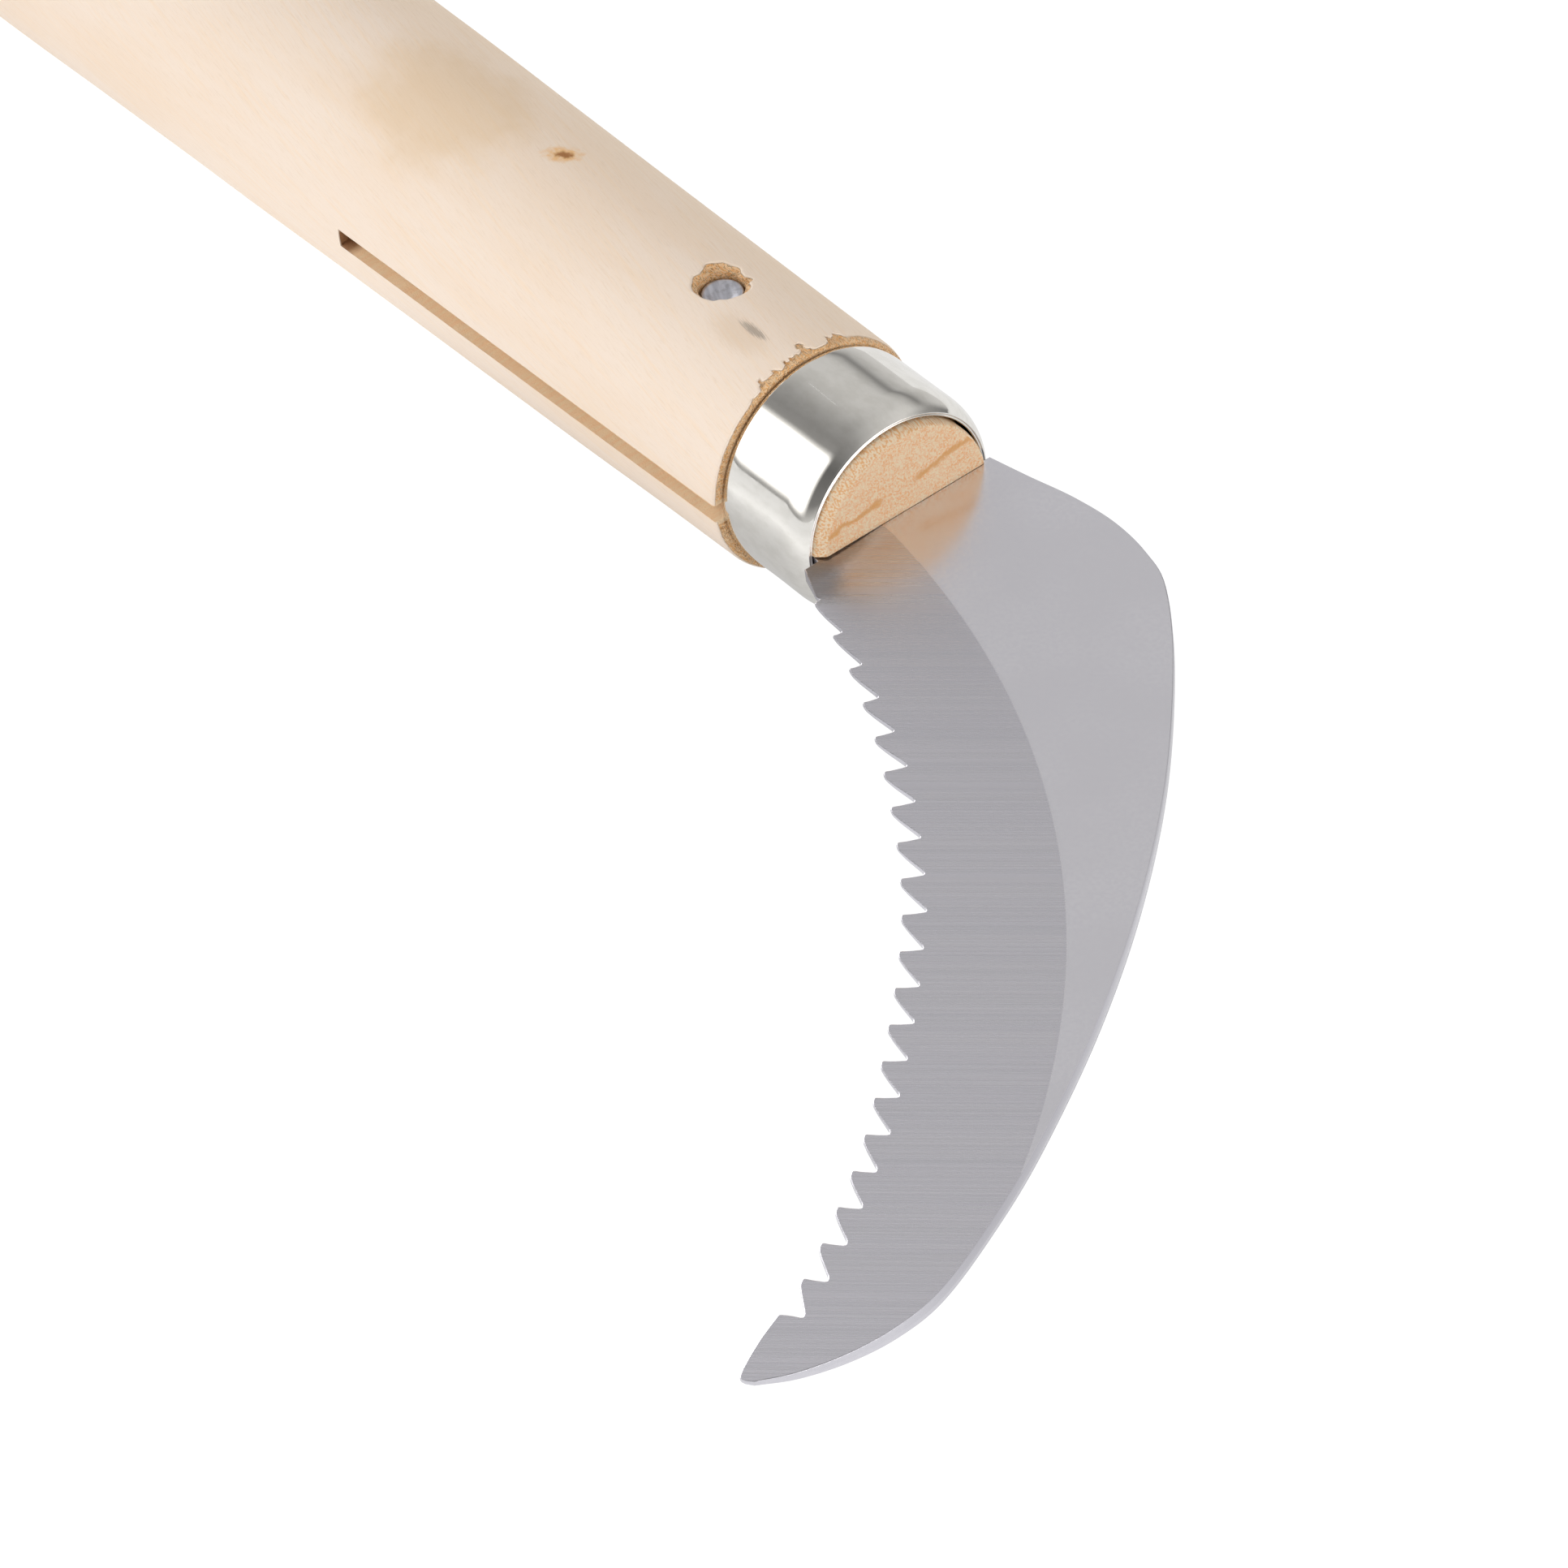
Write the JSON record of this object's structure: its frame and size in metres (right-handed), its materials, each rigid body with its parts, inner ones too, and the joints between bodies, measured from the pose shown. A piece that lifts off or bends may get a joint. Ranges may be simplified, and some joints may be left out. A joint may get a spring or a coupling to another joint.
{
  "type": "hand sickle",
  "caption": "Hand sickle: slightly tapered round wooden handle, bright metal ferrule and a flat crescent blade with saw teeth on its inner edge.",
  "frame": {"origin": "centre of the handle's flat butt face, on the handle's axis", "axes": "+X along the handle towards the blade, +Z the blade's normal on its ground side, the blade hooks over towards -Y"},
  "size_m": [0.2731, 0.1053, 0.031],
  "materials": {
    "handle_wood": "smooth turned pale hardwood, unvarnished, with fine grain, a small knot and a few handling stains",
    "ferrule_nickel": "mirror-polished nickel plate",
    "blade_steel": "satin rolled back, fine grinding lines on the ground face",
    "rivet_steel": "dull cropped pin end"
  },
  "bodies": {
    "root": {"handle": "handle_wood", "ferrule": "ferrule_nickel", "blade": "blade_steel", "rivet": "rivet_steel"}
  },
  "joints": []
}
